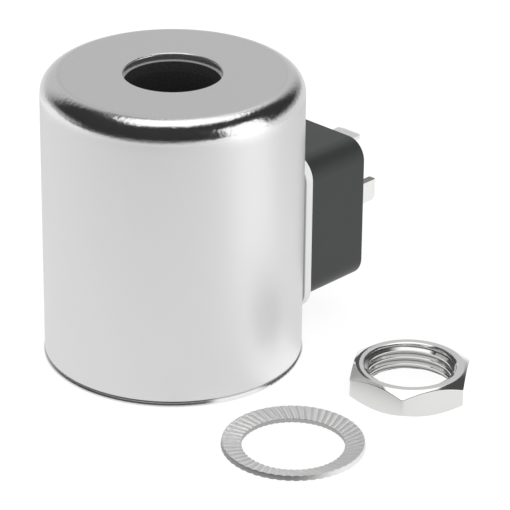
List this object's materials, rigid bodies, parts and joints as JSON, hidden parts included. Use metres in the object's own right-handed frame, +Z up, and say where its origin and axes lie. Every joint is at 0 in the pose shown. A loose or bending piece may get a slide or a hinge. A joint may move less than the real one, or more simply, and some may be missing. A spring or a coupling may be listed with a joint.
{
  "type": "solenoid coil for a cartridge valve",
  "caption": "Solenoid coil of a screw-in cartridge valve: plated steel can with a through bore and a side plug connector, with its loose thin hex nut and ribbed lock washer.",
  "frame": {"origin": "on the bore's axis, at the underside of the base plate, which stands on the surface", "axes": "+Z up along the bore, +X the way the plug connector faces, +Y completes the right-handed set"},
  "size_m": [0.0789, 0.0847, 0.0587],
  "materials": {
    "can_plating": "bright zinc-nickel plated, satin",
    "magnet_steel": "turned and plated",
    "collar_plating": "bright plated",
    "black_moulding": "fine-grained glass-filled nylon",
    "bobbin_moulding": "smooth glass-filled nylon",
    "potting": "cast resin",
    "copper": "enamelled wire",
    "tape": "polyester tape",
    "tinned_contact": "tin plated",
    "brass_insert": "turned",
    "lead_insulation": "silicone insulation",
    "nut_plating": "bright nickel plated",
    "washer_plating": "zinc plated spring steel"
  },
  "bodies": {
    "coil": {"can_shell": "can_plating", "base_plate": "magnet_steel", "pole_ring": "magnet_steel", "bobbin": "bobbin_moulding", "winding": "copper", "winding_tape": "tape", "encapsulation": "potting", "connector_collar": "collar_plating", "connector_block": "black_moulding", "line_tab_1": "tinned_contact", "line_tab_2": "tinned_contact", "earth_tab": "tinned_contact", "earth_strap": "tinned_contact", "screw_insert": "brass_insert", "start_lead": "lead_insulation", "finish_lead": "lead_insulation", "start_crimp": "tinned_contact", "finish_crimp": "tinned_contact"},
    "nut": {"hex_nut": "nut_plating"},
    "washer": {"lock_washer": "washer_plating"}
  },
  "joints": [
    {"name": "nut_lift", "type": "slide", "parent": "coil", "child": "nut", "axis": [0, 0, 1], "range_m": [0, 0.08]},
    {"name": "washer_lift", "type": "slide", "parent": "coil", "child": "washer", "axis": [0, 0, 1], "range_m": [0, 0.08]}
  ]
}
